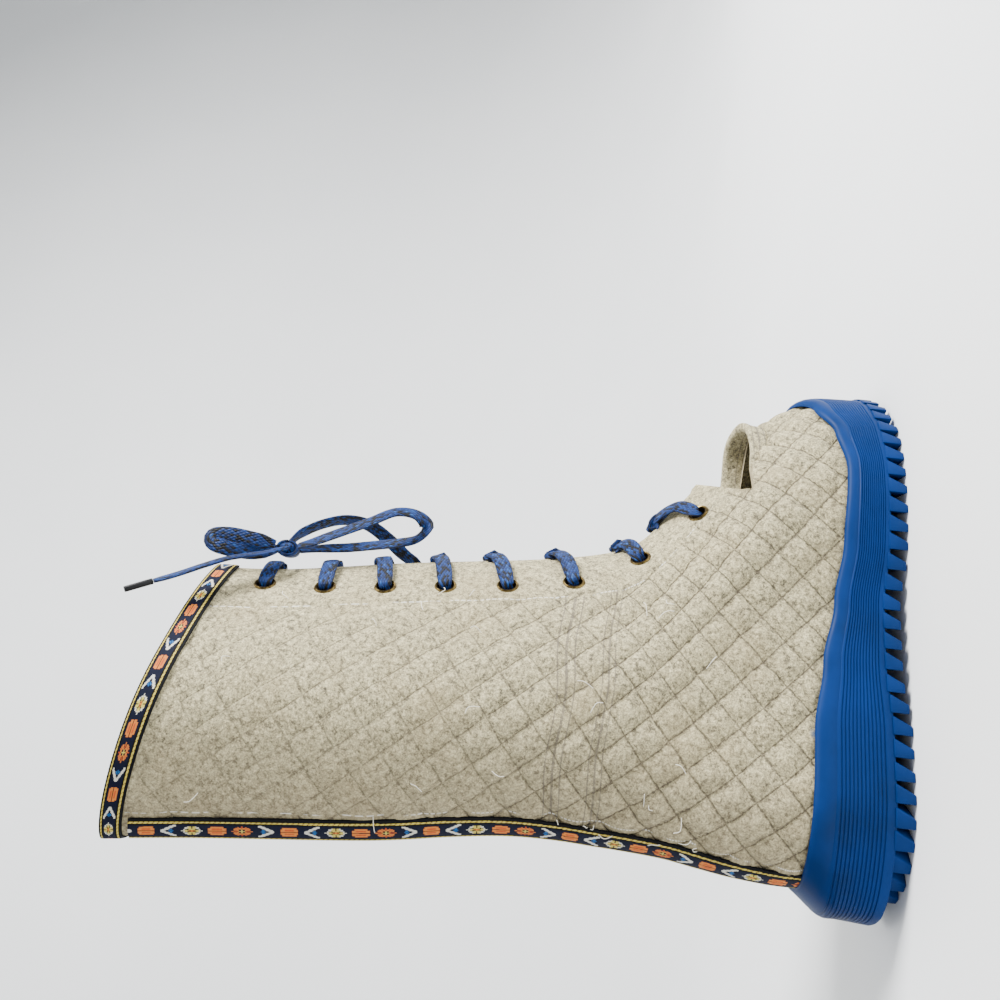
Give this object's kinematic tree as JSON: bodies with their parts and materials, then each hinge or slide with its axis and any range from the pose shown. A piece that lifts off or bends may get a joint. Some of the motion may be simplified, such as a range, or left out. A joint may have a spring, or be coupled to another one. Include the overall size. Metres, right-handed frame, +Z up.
{
  "type": "felt boot",
  "caption": "Tall laced boot of quilted felt on a moulded rubber cup sole, standing upright, with woven ribbon at collar and heel and a tied bow.",
  "frame": {"origin": "on the floor, under the middle of the boot's bounding box without its free laces", "axes": "+Z up the shaft, +X towards the toe, +Y to the wearer's left"},
  "size_m": [0.2794, 0.1008, 0.3687],
  "materials": {
    "felt": "light warm grey wool felt, quilted in diamonds, nap matt",
    "rubber": "blue moulded rubber, satin, finely ribbed on the side",
    "insole_felt": "grey felt, matt",
    "ribbon": "woven ribbon, dark ground with yellow lines and small coloured motifs",
    "brass": "aged, dull",
    "lace": "blue braided lace with dark flecks",
    "aglet": "black, satin"
  },
  "bodies": {
    "root": {"upper": "felt", "cup_sole": "rubber", "insole": "insole_felt", "collar_ribbon": "ribbon", "back_ribbon": "ribbon", "eyelet_outer_1": "brass", "eyelet_outer_2": "brass", "eyelet_outer_3": "brass", "eyelet_outer_4": "brass", "eyelet_outer_5": "brass", "eyelet_outer_6": "brass", "eyelet_outer_7": "brass", "eyelet_outer_8": "brass", "eyelet_inner_1": "brass", "eyelet_inner_2": "brass", "eyelet_inner_3": "brass", "eyelet_inner_4": "brass", "eyelet_inner_5": "brass", "eyelet_inner_6": "brass", "eyelet_inner_7": "brass", "eyelet_inner_8": "brass", "lace_crossing_1": "lace", "lace_crossing_2": "lace", "lace_crossing_3": "lace", "lace_crossing_4": "lace", "lace_crossing_5": "lace", "lace_crossing_6": "lace", "lace_crossing_7": "lace", "lace_crossing_8": "lace", "lace_knot": "lace", "lace_loop_front": "lace", "lace_loop_top": "lace", "lace_end_outer": "lace", "lace_end_inner": "lace", "lace_aglet_outer": "aglet", "lace_aglet_inner": "aglet"}
  },
  "joints": []
}
